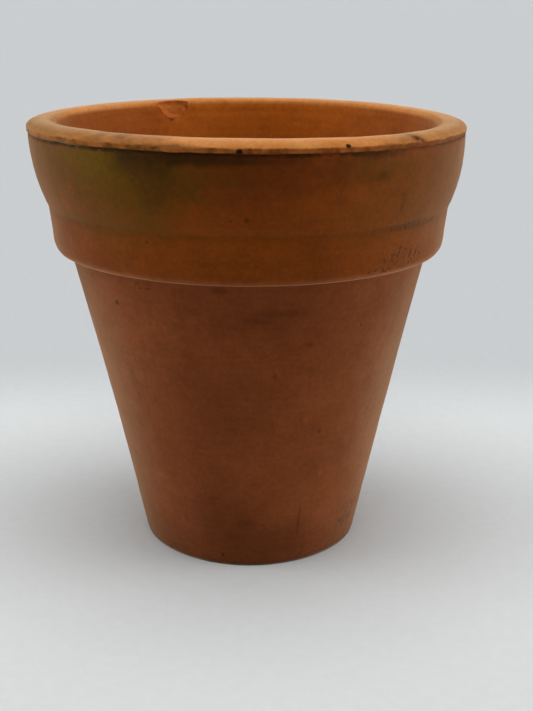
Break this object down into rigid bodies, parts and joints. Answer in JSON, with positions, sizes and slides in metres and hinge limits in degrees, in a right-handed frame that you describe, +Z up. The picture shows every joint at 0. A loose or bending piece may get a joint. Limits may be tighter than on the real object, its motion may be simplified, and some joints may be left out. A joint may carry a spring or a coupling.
{
  "type": "plant pot",
  "caption": "Small round terracotta plant pot with a tapered body, a deep two-band collar, an overhanging lip and one drain hole.",
  "frame": {"origin": "on the pot's axis, at the underside of its base", "axes": "+Z up along the pot's axis, from the base to the rim; the pot is round, so X and Y are any two horizontal directions, with the worn side it was modelled from facing -Y"},
  "size_m": [0.0898, 0.0898, 0.0908],
  "materials": {
    "terracotta": "matte"
  },
  "bodies": {
    "root": {"pot": "terracotta"}
  },
  "joints": []
}
